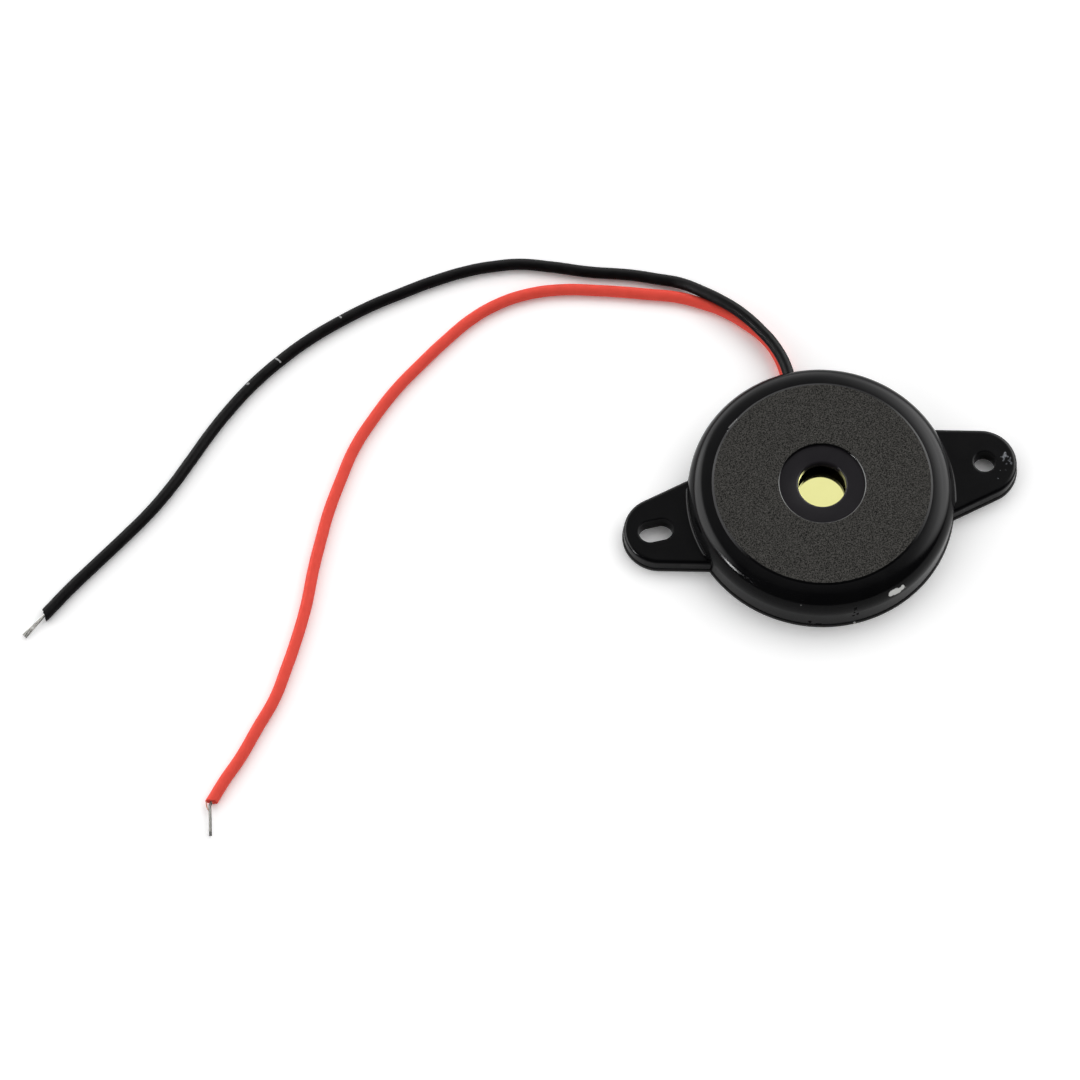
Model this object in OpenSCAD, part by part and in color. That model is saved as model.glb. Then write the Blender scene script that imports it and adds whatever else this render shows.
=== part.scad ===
// Panel-mount piezo buzzer: a flat round moulding with two fixing ears, a sound hole
// over a brass sounding disc, a glued back cover and two flying leads.
// Origin: centre of the mounting face. +X runs to the ear with the round hole,
// +Y to the side where the leads come out, +Z out of the panel.

/* [Housing] */
// Outside diameter of the round wall
body_d = 31.5; // [29.5:0.5:33]
// Height from the mounting face to the grained front
body_h = 5.9; // [5.7:0.1:7]
// Radius of the rounded front rim
rim_r = 1.8; // [1:0.1:2]
// Radius of the flatter curve that leads from the rim down to the wall
flank_r = 3.4; // [2.4:0.1:3.6]
// Angle through which the rim turns before the flatter curve begins
rim_turn = 58; // [50:1:66]
// Width of the smooth shoulder between the rim and the grained front
shoulder_w = 0.9; // [0.4:0.1:1.4]
// Angle at which the shoulder falls towards the rim
shoulder_fall = 6; // [2:1:12]
// Step from the smooth shoulder up to the grained front
front_step = 0.15; // [0.1:0.05:0.3]
// Width of the slope on that step
front_slope_w = 0.25; // [0.1:0.05:0.4]
// Thickness of the front wall under the shoulder
front_wall = 1.3; // [1.1:0.1:1.5]
// Thickness of the side wall beside the sounding disc
side_wall = 2.05; // [1.8:0.05:2.4]
// Diameter of the recess round the sound hole
recess_d = 10; // [8:0.5:12]
// Depth of the recess
recess_depth = 0.4; // [0.3:0.1:0.5]
// Rounding of the recess's edge
recess_r = 0.2; // [0.05:0.05:0.25]
// Diameter of the sound hole
sound_hole_d = 5.6; // [3:0.2:7]
// Rounding of the sound hole's front edge
sound_hole_r = 0.25; // [0.1:0.05:0.4]
// Width of the thin foot lip that runs round the body and the ears
lip_w = 0.15; // [0.1:0.05:0.4]
// Thickness of the foot lip
lip_h = 0.3; // [0.2:0.05:0.5]

/* [Ears] */
// Distance between the centres of the round hole and the slot
hole_pitch = 40; // [39:0.5:44]
// Thickness of the ears
ear_t = 2.2; // [1.8:0.1:2.8]
// Radius of the rounded ear tips
ear_tip_r = 4.25; // [3.8:0.05:4.6]
// Distance of the tip's centre inward from the hole centre
ear_set_in = 0.45; // [0:0.05:0.6]
// Angle by which each ear side flares towards the body
ear_flare = 14; // [10:2:14]
// Rounding of the ears' upper edge
ear_edge_r = 0.4; // [0.2:0.05:0.6]
// Hollow radius where the ears meet the wall
ear_root_r = 0.4; // [0.3:0.1:0.8]
// Diameter of the round screw hole
screw_hole_d = 2.6; // [2.2:0.1:3]
// Width of the screw slot
slot_w = 2.7; // [2.2:0.1:3]
// Length of the screw slot
slot_len = 4.1; // [3.2:0.1:4.4]

/* [Sounding disc] */
// Thickness of the brass disc
brass_t = 0.25; // [0.2:0.05:0.3]
// Width of the bare brass left round the ceramic wafer behind it
brass_rim_w = 3.5; // [3.3:0.1:5]
// Thickness of the ceramic wafer
ceramic_t = 0.25; // [0.15:0.05:0.35]
// Width of the ledge that the brass disc lies on
ledge_w = 1.2; // [0.8:0.1:1.6]
// Free height between the upper lead and the brass disc
disc_lift = 0.23; // [0.1:0.01:0.3]
// Free space round the edge of the brass disc
disc_clearance = 0.2; // [0.1:0.05:0.3]
// Radius of the adhesive bead that holds the brass disc
bead_r = 0.8; // [0.5:0.1:0.9]

/* [Back cover] */
// Thickness of the back cover
cover_t = 1; // [0.8:0.1:1.2]
// Distance of the cover's face behind the mounting face
cover_set_in = 0.2; // [0.1:0.05:0.4]
// Width of the step that the cover seats on
cover_seat_w = 0.4; // [0.3:0.1:0.6]
// Free space round the edge of the cover
cover_clearance = 0.05; // [0.03:0.01:0.1]

/* [Leads] */
// Outside diameter of the insulation
lead_d = 1.4; // [1.2:0.05:1.5]
// Free space on each side of a lead in the slot of the wall
lead_clearance = 0.1; // [0.05:0.05:0.2]
// Diameter of the bare wire inside the housing
core_d = 0.5; // [0.3:0.05:0.6]
// Diameter of the bare end of the red lead
red_tip_d = 0.34; // [0.3:0.02:0.5]
// Diameter at the neck of the black lead's bare end
black_neck_d = 0.3; // [0.2:0.02:0.4]
// Diameter over the spread strands of the black lead's bare end
black_fan_d = 0.6; // [0.4:0.05:0.8]
// Diameter of a solder joint on its disc
solder_d = 2.2; // [1.6:0.1:2.4]
// Height of a solder joint
solder_h = 0.7; // [0.5:0.05:0.8]

/* [Hidden] */
$fn = 96;
over = 1;

// Radii about the body's axis
body_r = body_d / 2;
rim_w = rim_r * (sin(rim_turn) - sin(shoulder_fall)) + flank_r * (1 - sin(rim_turn));
front_r = body_r - rim_w - shoulder_w;
bore_r = body_r - side_wall;
brass_r = bore_r - disc_clearance;
ceramic_r = brass_r - brass_rim_w;
cavity_r = brass_r - ledge_w;
seat_r = bore_r + cover_seat_w;
cover_r = seat_r - cover_clearance;

// Heights from the mounting face; the leads leave one above the other, under the disc
floor_gap = 0.02;
on_floor = lead_d / 2 + floor_gap;
on_red = on_floor + lead_d;
brass_z = on_red + lead_d / 2 + disc_lift;
ledge_z = brass_z + brass_t;
ceramic_z = brass_z - ceramic_t;
shoulder_z = body_h - front_step;
recess_z = body_h - recess_depth;
front_z = shoulder_z - front_wall;
cover_z = cover_set_in + cover_t;

// Start of the rim and centres of its two arcs in the body's half section
rim_start = [body_r - rim_w, shoulder_z - shoulder_w * tan(shoulder_fall)];
rim_centre = rim_start - rim_r * [sin(shoulder_fall), cos(shoulder_fall)];
flank_centre = [body_r - flank_r, rim_centre.y - (flank_r - rim_r) * cos(rim_turn)];

// Ears
tip_x = hole_pitch / 2 - ear_set_in;
root_run_in = 0.1;

// Lengths of insulation inside the bore, and of the wire that runs straight out of it
red_inside = 1.5;
black_inside = 0.3;
stub = 0.3;
lead_slot_w = lead_d + 2 * lead_clearance;
notch_depth = red_inside + lead_slot_w;

// Solder joints: the red one lies on the wafer, the black one on the bare brass
joint_set_in = 0.7;
joint_sink = 0.4;
red_joint_y = ceramic_r - solder_d / 2 - joint_set_in;
black_joint_y = (ceramic_r + bore_r - bead_r) / 2;
solder_ball_r = (solder_d * solder_d / 4 + solder_h * solder_h) / (2 * solder_h);

// Routes of the leads: x, distance out from the wall, and lift off the floor in lead diameters
lead_sides = 8;
tip_drop = -0.15;
red_route = lead_points([
    [0, -side_wall - red_inside, 0], [0, -1.75, 0], [0, 0.75, 0], [-0.3, 3.75, 0],
    [-1.2, 6.25, 0], [-3, 8.75, 0], [-5.5, 11.25, 0], [-7.75, 12.75, 0],
    [-10, 14, 0], [-13.5, 15.25, 0], [-19, 17, 0], [-24, 18.25, 0],
    [-28, 18.5, 0], [-31.5, 18, 0], [-35, 16.75, 0], [-38.5, 14.75, 0],
    [-42.25, 12.25, 0], [-46, 9.5, 0], [-49, 6.75, 0], [-52.25, 3.25, 0],
    [-54.75, -0.5, 0], [-57, -4.25, 0], [-58.5, -7.25, 0], [-60.25, -11, 0],
    [-62, -15.25, 0], [-64, -19.25, 0], [-66, -22.75, 0], [-68, -26, 0],
    [-70.75, -29.25, 0], [-73.5, -32.5, 0], [-75.75, -34.75, 0], [-77.75, -37, 0],
]);
red_tip_end = lead_points([[-78.7, -41, tip_drop]])[0];

black_route = lead_points([
    [0, -side_wall - black_inside, 1], [0, -0.75, 1], [0.1, 1.25, 1], [-0.5, 4.25, 1],
    [-1.75, 7, 1], [-3.5, 9.75, 1], [-5.25, 11.75, 0.94], [-7.25, 13.75, 0.64],
    [-9.5, 15.75, 0.19], [-12, 17, 0.02], [-15, 18.25, 0], [-19.75, 19.75, 0],
    [-24.25, 21.5, 0], [-27.75, 22.65, 0], [-30.75, 23.05, 0], [-33.75, 23.15, 0],
    [-38.25, 22.75, 0], [-42.5, 22, 0], [-46.5, 21.15, 0], [-50.5, 19.95, 0],
    [-54.5, 18.45, 0], [-58.5, 16.45, 0], [-62.25, 14.15, 0], [-65.75, 11.45, 0],
    [-68.75, 8.75, 0], [-71.75, 5.75, 0], [-74.75, 2.85, 0], [-77.75, 0.35, 0],
    [-81, -1.95, 0], [-84.5, -4.3, 0], [-88.5, -7, 0], [-92.2, -9.75, 0],
]);
black_tip_end = lead_points([[-95, -11.75, tip_drop]])[0];

function lead_points(route) =
    [for (p = route) [p.x, body_r + p.y, on_floor + p.z * lead_d]];
function unit(v) = v / norm(v);
function last(points) = points[len(points) - 1];
function end_direction(points) = unit(last(points) - points[len(points) - 2]);
function direction(points, i) = unit(points[min(i + 1, len(points) - 1)] - points[max(i - 1, 0)]);

// Ring of points about one point of a route
function ring(points, i, r) =
    let (along = direction(points, i), side = unit(cross(along, [0, 0, 1])), up = cross(side, along))
    [for (k = [0 : lead_sides - 1])
        points[i] + r * (side * cos(360 * k / lead_sides) + up * sin(360 * k / lead_sides))];

// Two triangles between neighbouring rings, for each side of the tube
function strip(i) = [for (k = [0 : lead_sides - 1])
    let (a = i * lead_sides + k, b = i * lead_sides + (k + 1) % lead_sides)
    each [[a, b, b + lead_sides], [a, b + lead_sides, a + lead_sides]]];

// Round wire along a route, with flat ends; it is d thick, and end_d at its last point
module wire(points, d, end_d) {
    top = len(points) - 1;
    polyhedron(
        points = [for (i = [0 : top]) each ring(points, i, (i < top ? d : end_d) / 2)],
        faces = concat(
            [[for (k = [lead_sides - 1 : -1 : 0]) k]],
            [for (i = [0 : top - 1]) each strip(i)],
            [[for (k = [0 : lead_sides - 1]) top * lead_sides + k]]));
}

// Cutter that rounds an outer corner of a profile; out_x and out_y point away from the material
module corner_cut(x, y, r, out_x, out_y) {
    reach = r + over;
    translate([x - out_x * r, y - out_y * r])
        difference() {
            polygon([[0, 0], [out_x * reach, 0], [out_x * reach, out_y * reach], [0, out_y * reach]]);
            circle(r, $fn = 48);
        }
}

// Cutter outside one arc of the rim, between two angles measured from upright
module rim_cut(centre, r, from, to) {
    reach = r + 2 * over;
    middle = (from + to) / 2;
    far = reach / cos(to - middle);
    translate(centre)
        difference() {
            polygon([
                [0, 0],
                [reach * sin(from), reach * cos(from)],
                [far * sin(middle), far * cos(middle)],
                [reach * sin(to), reach * cos(to)],
            ]);
            circle(r, $fn = 48);
        }
}

// Half section of the closed body, before it is hollowed
module body_section() {
    difference() {
        union() {
            polygon([
                [0, 0],
                [body_r, 0],
                [body_r, rim_start.y],
                rim_start,
                [front_r, shoulder_z],
                [front_r - front_slope_w, body_h],
                [0, body_h],
            ]);
            square([body_r + lip_w, lip_h]);
        }
        rim_cut(rim_centre, rim_r, shoulder_fall, rim_turn);
        rim_cut(flank_centre, flank_r, rim_turn, 90);
    }
}

// Half section of the recess, the sound hole, the air space, the disc's bore and the cover's seat
module hollow_section() {
    translate([0, recess_z])
        square([recess_d / 2, recess_depth + over]);
    translate([0, front_z - over / 2])
        square([sound_hole_d / 2, front_wall + over]);
    corner_cut(recess_d / 2, body_h, recess_r, -1, 1);
    corner_cut(sound_hole_d / 2, recess_z, sound_hole_r, -1, 1);
    square([cavity_r, front_z]);
    square([bore_r, ledge_z]);
    translate([0, -over])
        square([seat_r, cover_z + over]);
}

// Half section of an ear across its side, rounded along the outer upper edge
module ear_section(tip_r, inner, t, r) {
    difference() {
        translate([inner, 0])
            square([tip_r - inner, t]);
        if (r > 0)
            corner_cut(tip_r, t, r, 1, 1);
    }
}

// Ear at the +X side, without its hole: a round tip between two flared sides
module ear(tip_r, t, r) {
    run = tip_x - body_r / 2;
    translate([tip_x, 0, 0]) {
        rotate([0, 0, ear_flare - 90])
            rotate_extrude(angle = 180 - 2 * ear_flare)
                ear_section(tip_r, 0, t, r);
        for (side = [0, 1])
            mirror([0, side, 0])
                rotate([0, 0, -ear_flare])
                    translate([-run, 0, 0])
                        rotate([90, 0, 90])
                            linear_extrude(run)
                                ear_section(tip_r, -tip_r / 2, t, r);
    }
}

// Hollow fillet between the top of the +X ear and the round wall; its arc runs a little into both
module ear_root() {
    arc_r = norm([ear_root_r + root_run_in, root_run_in]);
    inner_r = (bore_r + body_r) / 2;
    outer_r = body_r + ear_root_r + root_run_in;
    near_x = body_r * 0.7;
    far_x = outer_r + over;
    flat = ear_tip_r - ear_edge_r - root_run_in;
    near_y = (flat + (tip_x - near_x) * sin(ear_flare)) / cos(ear_flare);
    far_y = (flat + (tip_x - far_x) * sin(ear_flare)) / cos(ear_flare);
    intersection() {
        rotate_extrude()
            difference() {
                translate([inner_r, ear_t - ear_edge_r])
                    square([outer_r - inner_r, ear_edge_r + ear_root_r + root_run_in]);
                translate([outer_r, ear_t + ear_root_r + root_run_in])
                    circle(arc_r);
            }
        linear_extrude(body_h)
            polygon([[near_x, near_y], [near_x, -near_y], [far_x, -far_y], [far_x, far_y]]);
    }
}

// Slot through the rear wall for the two leads, one above the other
module lead_slot() {
    depth = body_r + lip_w + over - cavity_r;
    translate([0, cavity_r + depth, 0])
        rotate([90, 0, 0])
            linear_extrude(depth) {
                translate([-lead_slot_w / 2, -over])
                    square([lead_slot_w, on_red + over]);
                translate([0, on_red])
                    circle(d = lead_slot_w);
            }
}

module screw_hole() {
    translate([hole_pitch / 2, 0, -over])
        cylinder(h = ear_t + 2 * over, d = screw_hole_d);
}

module screw_slot() {
    reach = (slot_len - slot_w) / 2;
    translate([-hole_pitch / 2, 0, -over])
        linear_extrude(ear_t + 2 * over) {
            square([2 * reach, slot_w], center = true);
            for (side = [-1, 1])
                translate([side * reach, 0])
                    circle(d = slot_w);
        }
}

module housing() {
    color([0.13, 0.13, 0.14])
        difference() {
            union() {
                rotate_extrude()
                    body_section();
                for (turn = [0, 180])
                    rotate([0, 0, turn]) {
                        ear(ear_tip_r, ear_t, ear_edge_r);
                        ear(ear_tip_r + lip_w, lip_h, 0);
                        ear_root();
                    }
            }
            rotate_extrude()
                hollow_section();
            screw_hole();
            screw_slot();
            lead_slot();
        }
}

module brass_disc() {
    color([0.86, 0.8, 0.45])
        translate([0, 0, brass_z])
            cylinder(h = brass_t, r = brass_r);
}

module ceramic_disc() {
    color([0.82, 0.82, 0.8])
        translate([0, 0, ceramic_z])
            cylinder(h = ceramic_t, r = ceramic_r);
}

// Bead in the corner of the brass disc and the bore, left open where the leads pass
module adhesive_ring() {
    color([0.85, 0.83, 0.76])
        difference() {
            translate([0, 0, brass_z])
                rotate_extrude()
                    translate([bore_r, 0])
                        intersection() {
                            circle(bead_r);
                            translate([-bead_r, -bead_r])
                                square(bead_r);
                        }
            translate([-lead_d, 0, 0])
                cube([2 * lead_d, body_r, body_h]);
        }
}

module back_cover() {
    color([0.12, 0.12, 0.13])
        translate([0, 0, cover_set_in])
            difference() {
                cylinder(h = cover_t, r = cover_r);
                translate([0, 0, -over])
                    linear_extrude(cover_t + 2 * over) {
                        translate([0, bore_r - notch_depth])
                            circle(d = lead_slot_w);
                        translate([-lead_slot_w / 2, bore_r - notch_depth])
                            square([lead_slot_w, cover_r]);
                    }
            }
}

// Solder joint hanging under a disc whose underside is at height z
module solder(y, z) {
    translate([0, y, z])
        rotate_extrude()
            intersection() {
                translate([0, solder_ball_r - solder_h])
                    circle(solder_ball_r);
                translate([0, -2 * solder_h])
                    square([solder_d, 2 * solder_h]);
            }
}

module red_solder() {
    color([0.72, 0.72, 0.7])
        solder(red_joint_y, ceramic_z);
}

module black_solder() {
    color([0.72, 0.72, 0.7])
        solder(black_joint_y, brass_z);
}

// Bare wire from the cut insulation to its solder joint
module tail(start, joint_y, joint_z) {
    difference() {
        wire([start, start - [0, stub, 0], [0, joint_y, joint_z - joint_sink * solder_h]], core_d, core_d);
        solder(joint_y, joint_z);
    }
}

module red_bare_tail() {
    color([0.7, 0.7, 0.68])
        tail(red_route[0], red_joint_y, ceramic_z);
}

module black_bare_tail() {
    color([0.7, 0.7, 0.68])
        tail(black_route[0], black_joint_y, brass_z);
}

module red_lead() {
    color([0.8, 0.16, 0.14])
        wire(red_route, lead_d, lead_d);
}

module black_lead() {
    color([0.1, 0.09, 0.1])
        wire(black_route, lead_d, lead_d);
}

module red_bare_tip() {
    start = last(red_route);
    color([0.6, 0.59, 0.56])
        wire([start, start + stub * end_direction(red_route), red_tip_end], red_tip_d, red_tip_d);
}

module black_bare_tip() {
    start = last(black_route);
    color([0.6, 0.59, 0.56])
        wire([start, start + stub * end_direction(black_route), black_tip_end], black_neck_d, black_fan_d);
}

housing();
brass_disc();
ceramic_disc();
adhesive_ring();
back_cover();
red_solder();
black_solder();
red_bare_tail();
black_bare_tail();
red_lead();
black_lead();
red_bare_tip();
black_bare_tip();
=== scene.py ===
"""Piezo buzzer with flying leads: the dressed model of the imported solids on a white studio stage."""

import math
import random

import bmesh
import bpy
from bpy.props import FloatProperty, FloatVectorProperty, IntProperty, PointerProperty
from mathutils import Matrix, Vector


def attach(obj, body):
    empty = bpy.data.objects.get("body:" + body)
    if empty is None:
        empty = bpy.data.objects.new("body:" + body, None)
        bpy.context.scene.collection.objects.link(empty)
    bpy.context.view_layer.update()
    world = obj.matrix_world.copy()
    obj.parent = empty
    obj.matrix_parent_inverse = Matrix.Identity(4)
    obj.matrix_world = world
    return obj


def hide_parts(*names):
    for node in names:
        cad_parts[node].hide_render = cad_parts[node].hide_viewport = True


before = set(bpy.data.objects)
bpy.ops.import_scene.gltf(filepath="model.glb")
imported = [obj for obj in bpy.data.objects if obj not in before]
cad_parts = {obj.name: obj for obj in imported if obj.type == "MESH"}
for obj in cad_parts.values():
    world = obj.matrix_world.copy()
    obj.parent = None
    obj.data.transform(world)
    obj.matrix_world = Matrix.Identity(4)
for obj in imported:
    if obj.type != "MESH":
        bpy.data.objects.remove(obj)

bl_info = {
    "name": "Piezo Buzzer",
    "version": (1, 0, 0),
    "blender": (4, 5, 0),
    "location": "View3D > Sidebar > Buzzer",
    "description": "Builds a panel-mount piezo buzzer with flying leads and its studio stage",
    "category": "Object",
}

# Centre lines of the leads from inside the wall to the cut end, then of the bare strands
RED_ROUTE = [
    (0.0, 0.0122, 0.00072), (0.0, 0.014, 0.00072), (0.0, 0.0165, 0.00072), (-0.0003, 0.0195, 0.00072),
    (-0.0012, 0.022, 0.00072), (-0.003, 0.0245, 0.00072), (-0.0055, 0.027, 0.00072), (-0.00775, 0.0285, 0.00072),
    (-0.01, 0.02975, 0.00072), (-0.0135, 0.031, 0.00072), (-0.019, 0.03275, 0.00072), (-0.024, 0.034, 0.00072),
    (-0.028, 0.03425, 0.00072), (-0.0315, 0.03375, 0.00072), (-0.035, 0.0325, 0.00072), (-0.0385, 0.0305, 0.00072),
    (-0.04225, 0.028, 0.00072), (-0.046, 0.02525, 0.00072), (-0.049, 0.0225, 0.00072), (-0.05225, 0.019, 0.00072),
    (-0.05475, 0.01525, 0.00072), (-0.057, 0.0115, 0.00072), (-0.0585, 0.0085, 0.00072), (-0.06025, 0.00475, 0.00072),
    (-0.062, 0.0005, 0.00072), (-0.064, -0.0035, 0.00072), (-0.066, -0.007, 0.00072), (-0.068, -0.01025, 0.00072),
    (-0.07075, -0.0135, 0.00072), (-0.0735, -0.01675, 0.00072), (-0.07575, -0.019, 0.00072),
    (-0.07775, -0.02125, 0.00072),
]
BLACK_ROUTE = [
    (0.0, 0.0134, 0.00212), (0.0, 0.015, 0.00212), (0.0001, 0.017, 0.00212), (-0.0005, 0.02, 0.00212),
    (-0.00175, 0.02275, 0.00212), (-0.0035, 0.0255, 0.00212), (-0.00525, 0.0275, 0.00203), (-0.00725, 0.0295, 0.00161),
    (-0.0095, 0.0315, 0.00098), (-0.012, 0.03275, 0.00074), (-0.015, 0.034, 0.00072), (-0.01975, 0.0355, 0.00072),
    (-0.02425, 0.03725, 0.00072), (-0.02775, 0.0384, 0.00072), (-0.03075, 0.0388, 0.00072), (-0.03375, 0.0389, 0.00072),
    (-0.03825, 0.0385, 0.00072), (-0.0425, 0.03775, 0.00072), (-0.0465, 0.0369, 0.00072), (-0.0505, 0.0357, 0.00072),
    (-0.0545, 0.0342, 0.00072), (-0.0585, 0.0322, 0.00072), (-0.06225, 0.0299, 0.00072), (-0.06575, 0.0272, 0.00072),
    (-0.06875, 0.0245, 0.00072), (-0.07175, 0.0215, 0.00072), (-0.07475, 0.0186, 0.00072), (-0.07775, 0.0161, 0.00072),
    (-0.081, 0.0138, 0.00072), (-0.0845, 0.01145, 0.00072), (-0.0885, 0.00875, 0.00072), (-0.0922, 0.006, 0.00072),
]
RED_TIP = [
    (-0.07775, -0.02125, 0.00072), (-0.07805, -0.0217, 0.00072), (-0.0783, -0.0232, 0.00064),
    (-0.0787, -0.02525, 0.0005),
]
BLACK_TIP = [
    (-0.0922, 0.006, 0.00072), (-0.0926, 0.0057, 0.00071), (-0.0938, 0.00485, 0.0006), (-0.095, 0.004, 0.0005),
]
COPPER_STRAND = [
    (-0.07832, -0.0211, 0.00085), (-0.07842, -0.0214, 0.0008), (-0.0784, -0.0218, 0.00072), (-0.07828, -0.0222, 0.0006),
    (-0.078, -0.0223, 0.00058),
]


def length_setting(name, description, default):
    """Setting for a length in metres."""
    return FloatProperty(name=name, description=description, default=default, unit="LENGTH")


def angle_setting(name, description, degrees):
    """Setting for an angle, with its default in degrees."""
    return FloatProperty(name=name, description=description, default=math.radians(degrees), subtype="ANGLE")


def colour_setting(name, description, default):
    """Setting for a colour."""
    return FloatVectorProperty(name=name, description=description, default=default, size=3, min=0.0, max=1.0,
                               subtype="COLOR")


def strength_setting(name, description, default):
    """Setting for the strength of a light."""
    return FloatProperty(name=name, description=description, default=default, min=0.0)


class HousingSettings(bpy.types.PropertyGroup):
    """Sizes of the moulded housing."""

    body_radius: length_setting("Body radius", "Radius of the round wall", 0.01575)
    height: length_setting("Height", "Mounting face to grained front", 0.0059)
    rim: length_setting("Rim", "Rounding of the front rim", 0.0018)
    flank: length_setting("Flank", "Radius of the flatter curve below the rim", 0.0034)
    rim_turn: angle_setting("Rim turn", "Angle of the rim's own arc", 58)
    shoulder: length_setting("Shoulder", "Width of the smooth shoulder inside the rim", 0.0009)
    fall: angle_setting("Shoulder fall", "Fall of the shoulder to the rim", 6)
    crown: angle_setting("Shoulder crown", "Fall that the shoulder gains on its way to the rim", 4)
    step: length_setting("Step", "Step from the shoulder up to the grained front", 0.00015)
    slope: length_setting("Slope", "Width of the slope on that step", 0.00025)
    recess_radius: length_setting("Recess radius", "Radius of the recess", 0.005)
    recess_depth: length_setting("Recess depth", "Depth of the recess", 0.0004)
    recess_edge: length_setting("Recess edge", "Rounding of the recess's edge", 0.00024)
    hole_radius: length_setting("Sound hole", "Radius of the sound hole", 0.0028)
    hole_edge: length_setting("Sound hole edge", "Rounding of the sound hole", 0.00025)
    edge: length_setting("Small edges", "Rounding of the small moulded edges", 0.0001)
    front_wall: length_setting("Front wall", "Thickness under the shoulder", 0.0013)
    cavity_radius: length_setting("Air space", "Radius of the air space", 0.0123)
    ledge: length_setting("Ledge", "Height of the ledge for the disc", 0.0033)
    bore_radius: length_setting("Bore", "Radius of the disc's bore", 0.0137)
    seat_radius: length_setting("Seat", "Radius of the cover's seat", 0.0141)
    seat: length_setting("Seat height", "Height of the cover's seat", 0.0012)
    lip: length_setting("Lip width", "Width of the foot lip", 0.00015)
    lip_height: length_setting("Lip height", "Thickness of the foot lip", 0.0003)
    pitch: length_setting("Hole pitch", "Distance between the screw holes", 0.04)
    ear: length_setting("Ear thickness", "Thickness of the ears", 0.0022)
    ear_radius: length_setting("Ear tip", "Radius of the ear tips", 0.00425)
    ear_set_in: length_setting("Ear set-in", "Tip centre inward from the hole", 0.00045)
    ear_flare: angle_setting("Ear flare", "Flare of the ear sides", 14)
    ear_edge: length_setting("Ear edge", "Rounding of the ears' upper edge", 0.0004)
    ear_root: length_setting("Ear root", "Hollow radius at the wall", 0.00026)
    screw_radius: length_setting("Screw hole", "Radius of the round hole", 0.0013)
    slot_radius: length_setting("Slot", "Half the width of the slot", 0.00135)
    slot_length: length_setting("Slot length", "End to end length of the slot", 0.0041)
    lead_slot: length_setting("Lead slot", "Width of the slot for the leads", 0.0016)
    lead_slot_height: length_setting("Lead slot arch", "Height of the arch's centre", 0.00212)
    steps: IntProperty(name="Steps", description="Steps round the body", default=192, min=48)


class LeadSettings(bpy.types.PropertyGroup):
    """Sizes of the two leads."""

    diameter: length_setting("Diameter", "Outside diameter of the insulation", 0.0014)
    strand: length_setting("Strand", "Radius of one bare strand", 0.000062)
    strands: IntProperty(name="Strands", description="Strands in a bare end", default=7, min=1)


class FinishSettings(bpy.types.PropertyGroup):
    """Colours of the finishes; a mottled finish has a dark and a light one."""

    plastic_dark: colour_setting("Plastic, dark", "Smooth black moulding", (0.002, 0.002, 0.0023))
    plastic_light: colour_setting("Plastic, light", "Smooth black moulding", (0.0035, 0.0035, 0.0038))
    # Painted sheen and shade: the grained front's two colours are far lighter than the smooth moulding and stand for
    # the sheen its grain scatters; the dark one lies in the hollows of the grain's bump as painted shade, the light one
    # on its peaks as painted sheen.
    grain_dark: colour_setting("Grain, dark", "Hollows of the grained front", (0.001, 0.001, 0.0009))
    grain_light: colour_setting("Grain, light", "Peaks of the grained front", (0.0716, 0.0694, 0.0644))
    recess_dark: colour_setting("Recess, dark", "Floor of the recess", (0.012, 0.0111, 0.0129))
    recess_light: colour_setting("Recess, light", "Floor of the recess", (0.0158, 0.0146, 0.0167))
    # Painted sheen: the foot lip is the same black moulding, painted far lighter to stand for the light its rounded
    # edge reflects.
    lip: colour_setting("Foot lip", "Outer edge of the foot lip", (0.038, 0.038, 0.038))
    chip: colour_setting("Chip", "Bare spots where the rim is chipped", (0.608, 0.608, 0.595))
    scuff: colour_setting("Scuff", "Scuffs on the ear", (0.583, 0.608, 0.659))
    red_dark: colour_setting("Red insulation, dark", "Insulation of the red lead", (0.659, 0.0634, 0.0431))
    red_light: colour_setting("Red insulation, light", "Insulation of the red lead", (0.786, 0.0836, 0.0608))
    black_dark: colour_setting("Black insulation, dark", "Insulation of the black lead", (0.0025, 0.0024, 0.0025))
    black_light: colour_setting("Black insulation, light", "Insulation of the black lead", (0.0063, 0.006, 0.0063))
    tick: colour_setting("Tick", "Short scuffs across a lead", (0.57, 0.57, 0.57))
    brass_dark: colour_setting("Brass, dark", "Sounding disc", (0.86, 0.84, 0.35))
    brass_light: colour_setting("Brass, light", "Sounding disc", (0.9, 0.88, 0.39))
    silver_dark: colour_setting("Silver, dark", "Coating of the ceramic wafer", (0.62, 0.62, 0.6))
    silver_light: colour_setting("Silver, light", "Coating of the ceramic wafer", (0.75, 0.75, 0.73))
    solder_dark: colour_setting("Solder, dark", "Joints on the disc", (0.42, 0.42, 0.41))
    solder_light: colour_setting("Solder, light", "Joints on the disc", (0.62, 0.62, 0.6))
    glue_dark: colour_setting("Glue, dark", "Bead that holds the disc", (0.786, 0.76, 0.659))
    glue_light: colour_setting("Glue, light", "Bead that holds the disc", (0.887, 0.862, 0.76))
    tinned_dark: colour_setting("Tinned strands, dark", "Bare end of the black lead", (0.16, 0.157, 0.147))
    tinned_light: colour_setting("Tinned strands, light", "Bare end of the black lead", (0.36, 0.355, 0.335))
    dull_dark: colour_setting("Dull strands, dark", "Bare end of the red lead", (0.05, 0.049, 0.046))
    dull_light: colour_setting("Dull strands, light", "Bare end of the red lead", (0.11, 0.108, 0.1))
    dull_end: colour_setting("Dull strands, end", "Dark end of the red lead's strands", (0.02, 0.02, 0.019))
    copper_dark: colour_setting("Copper strand, dark", "Stray strand on the red lead", (0.38, 0.165, 0.101))
    copper_light: colour_setting("Copper strand, light", "Stray strand on the red lead", (0.583, 0.279, 0.19))


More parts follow.
